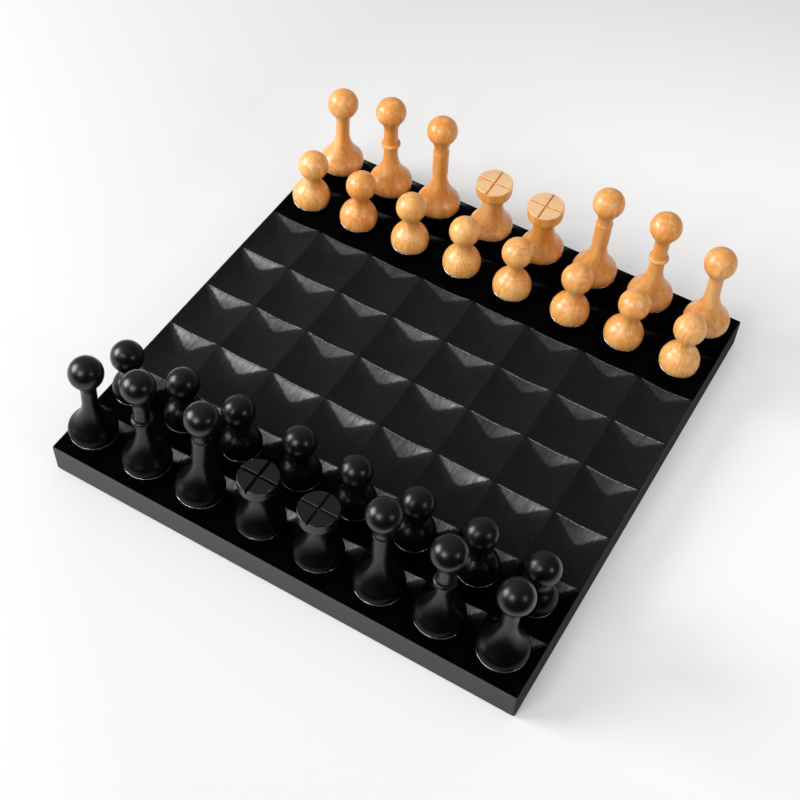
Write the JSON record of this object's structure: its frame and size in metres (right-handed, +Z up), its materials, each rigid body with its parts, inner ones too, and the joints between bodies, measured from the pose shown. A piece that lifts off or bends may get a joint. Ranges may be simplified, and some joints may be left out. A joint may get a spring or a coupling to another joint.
{
  "type": "chess set",
  "caption": "Chess set of round-bottomed turned wooden pieces with metal weights, standing in the shallow dishes of a square solid board.",
  "frame": {"origin": "centre of the underside, on the plane of the felt pads", "axes": "+Z up; X along the files from h to a, +X at the a file; Y along the ranks, the dark pieces at -Y and the light ones at +Y"},
  "size_m": [0.3808, 0.3808, 0.1259],
  "materials": {
    "black_stained_wood": "satin black stain and lacquer over sanded wood",
    "felt": "pressed wool felt",
    "black_lacquered_wood": "semi-gloss black lacquer",
    "natural_wood": "clear satin lacquer over turned beech",
    "weight_metal": "turned and polished"
  },
  "bodies": {
    "board": {"board": "black_stained_wood", "foot_pads": "felt"},
    "dark_rook_a": {"dark_rook_a": "black_lacquered_wood", "dark_rook_a_weight": "weight_metal"},
    "dark_knight_b": {"dark_knight_b": "black_lacquered_wood", "dark_knight_b_weight": "weight_metal"},
    "dark_bishop_c": {"dark_bishop_c": "black_lacquered_wood", "dark_bishop_c_weight": "weight_metal"},
    "dark_queen_d": {"dark_queen_d": "black_lacquered_wood", "dark_queen_d_weight": "weight_metal"},
    "dark_king_e": {"dark_king_e": "black_lacquered_wood", "dark_king_e_weight": "weight_metal"},
    "dark_bishop_f": {"dark_bishop_f": "black_lacquered_wood", "dark_bishop_f_weight": "weight_metal"},
    "dark_knight_g": {"dark_knight_g": "black_lacquered_wood", "dark_knight_g_weight": "weight_metal"},
    "dark_rook_h": {"dark_rook_h": "black_lacquered_wood", "dark_rook_h_weight": "weight_metal"},
    "dark_pawn_a": {"dark_pawn_a": "black_lacquered_wood"},
    "dark_pawn_b": {"dark_pawn_b": "black_lacquered_wood"},
    "dark_pawn_c": {"dark_pawn_c": "black_lacquered_wood"},
    "dark_pawn_d": {"dark_pawn_d": "black_lacquered_wood"},
    "dark_pawn_e": {"dark_pawn_e": "black_lacquered_wood"},
    "dark_pawn_f": {"dark_pawn_f": "black_lacquered_wood"},
    "dark_pawn_g": {"dark_pawn_g": "black_lacquered_wood"},
    "dark_pawn_h": {"dark_pawn_h": "black_lacquered_wood"},
    "light_rook_a": {"light_rook_a": "natural_wood", "light_rook_a_weight": "weight_metal"},
    "light_knight_b": {"light_knight_b": "natural_wood", "light_knight_b_weight": "weight_metal"},
    "light_bishop_c": {"light_bishop_c": "natural_wood", "light_bishop_c_weight": "weight_metal"},
    "light_queen_d": {"light_queen_d": "natural_wood", "light_queen_d_weight": "weight_metal"},
    "light_king_e": {"light_king_e": "natural_wood", "light_king_e_weight": "weight_metal"},
    "light_bishop_f": {"light_bishop_f": "natural_wood", "light_bishop_f_weight": "weight_metal"},
    "light_knight_g": {"light_knight_g": "natural_wood", "light_knight_g_weight": "weight_metal"},
    "light_rook_h": {"light_rook_h": "natural_wood", "light_rook_h_weight": "weight_metal"},
    "light_pawn_a": {"light_pawn_a": "natural_wood"},
    "light_pawn_b": {"light_pawn_b": "natural_wood"},
    "light_pawn_c": {"light_pawn_c": "natural_wood"},
    "light_pawn_d": {"light_pawn_d": "natural_wood"},
    "light_pawn_e": {"light_pawn_e": "natural_wood"},
    "light_pawn_f": {"light_pawn_f": "natural_wood"},
    "light_pawn_g": {"light_pawn_g": "natural_wood"},
    "light_pawn_h": {"light_pawn_h": "natural_wood"}
  },
  "joints": [
    {"name": "dark_rook_a_lift", "type": "slide", "parent": "board", "child": "dark_rook_a", "axis": [0, 0, 1], "range_m": [0, 0.11]},
    {"name": "dark_knight_b_lift", "type": "slide", "parent": "board", "child": "dark_knight_b", "axis": [0, 0, 1], "range_m": [0, 0.11]},
    {"name": "dark_bishop_c_lift", "type": "slide", "parent": "board", "child": "dark_bishop_c", "axis": [0, 0, 1], "range_m": [0, 0.11]},
    {"name": "dark_queen_d_lift", "type": "slide", "parent": "board", "child": "dark_queen_d", "axis": [0, 0, 1], "range_m": [0, 0.11]},
    {"name": "dark_king_e_lift", "type": "slide", "parent": "board", "child": "dark_king_e", "axis": [0, 0, 1], "range_m": [0, 0.11]},
    {"name": "dark_bishop_f_lift", "type": "slide", "parent": "board", "child": "dark_bishop_f", "axis": [0, 0, 1], "range_m": [0, 0.11]},
    {"name": "dark_knight_g_lift", "type": "slide", "parent": "board", "child": "dark_knight_g", "axis": [0, 0, 1], "range_m": [0, 0.11]},
    {"name": "dark_rook_h_lift", "type": "slide", "parent": "board", "child": "dark_rook_h", "axis": [0, 0, 1], "range_m": [0, 0.11]},
    {"name": "dark_pawn_a_lift", "type": "slide", "parent": "board", "child": "dark_pawn_a", "axis": [0, 0, 1], "range_m": [0, 0.11]},
    {"name": "dark_pawn_b_lift", "type": "slide", "parent": "board", "child": "dark_pawn_b", "axis": [0, 0, 1], "range_m": [0, 0.11]},
    {"name": "dark_pawn_c_lift", "type": "slide", "parent": "board", "child": "dark_pawn_c", "axis": [0, 0, 1], "range_m": [0, 0.11]},
    {"name": "dark_pawn_d_lift", "type": "slide", "parent": "board", "child": "dark_pawn_d", "axis": [0, 0, 1], "range_m": [0, 0.11]},
    {"name": "dark_pawn_e_lift", "type": "slide", "parent": "board", "child": "dark_pawn_e", "axis": [0, 0, 1], "range_m": [0, 0.11]},
    {"name": "dark_pawn_f_lift", "type": "slide", "parent": "board", "child": "dark_pawn_f", "axis": [0, 0, 1], "range_m": [0, 0.11]},
    {"name": "dark_pawn_g_lift", "type": "slide", "parent": "board", "child": "dark_pawn_g", "axis": [0, 0, 1], "range_m": [0, 0.11]},
    {"name": "dark_pawn_h_lift", "type": "slide", "parent": "board", "child": "dark_pawn_h", "axis": [0, 0, 1], "range_m": [0, 0.11]},
    {"name": "light_rook_a_lift", "type": "slide", "parent": "board", "child": "light_rook_a", "axis": [0, 0, 1], "range_m": [0, 0.11]},
    {"name": "light_knight_b_lift", "type": "slide", "parent": "board", "child": "light_knight_b", "axis": [0, 0, 1], "range_m": [0, 0.11]},
    {"name": "light_bishop_c_lift", "type": "slide", "parent": "board", "child": "light_bishop_c", "axis": [0, 0, 1], "range_m": [0, 0.11]},
    {"name": "light_queen_d_lift", "type": "slide", "parent": "board", "child": "light_queen_d", "axis": [0, 0, 1], "range_m": [0, 0.11]},
    {"name": "light_king_e_lift", "type": "slide", "parent": "board", "child": "light_king_e", "axis": [0, 0, 1], "range_m": [0, 0.11]},
    {"name": "light_bishop_f_lift", "type": "slide", "parent": "board", "child": "light_bishop_f", "axis": [0, 0, 1], "range_m": [0, 0.11]},
    {"name": "light_knight_g_lift", "type": "slide", "parent": "board", "child": "light_knight_g", "axis": [0, 0, 1], "range_m": [0, 0.11]},
    {"name": "light_rook_h_lift", "type": "slide", "parent": "board", "child": "light_rook_h", "axis": [0, 0, 1], "range_m": [0, 0.11]},
    {"name": "light_pawn_a_lift", "type": "slide", "parent": "board", "child": "light_pawn_a", "axis": [0, 0, 1], "range_m": [0, 0.11]},
    {"name": "light_pawn_b_lift", "type": "slide", "parent": "board", "child": "light_pawn_b", "axis": [0, 0, 1], "range_m": [0, 0.11]},
    {"name": "light_pawn_c_lift", "type": "slide", "parent": "board", "child": "light_pawn_c", "axis": [0, 0, 1], "range_m": [0, 0.11]},
    {"name": "light_pawn_d_lift", "type": "slide", "parent": "board", "child": "light_pawn_d", "axis": [0, 0, 1], "range_m": [0, 0.11]},
    {"name": "light_pawn_e_lift", "type": "slide", "parent": "board", "child": "light_pawn_e", "axis": [0, 0, 1], "range_m": [0, 0.11]},
    {"name": "light_pawn_f_lift", "type": "slide", "parent": "board", "child": "light_pawn_f", "axis": [0, 0, 1], "range_m": [0, 0.11]},
    {"name": "light_pawn_g_lift", "type": "slide", "parent": "board", "child": "light_pawn_g", "axis": [0, 0, 1], "range_m": [0, 0.11]},
    {"name": "light_pawn_h_lift", "type": "slide", "parent": "board", "child": "light_pawn_h", "axis": [0, 0, 1], "range_m": [0, 0.11]}
  ]
}
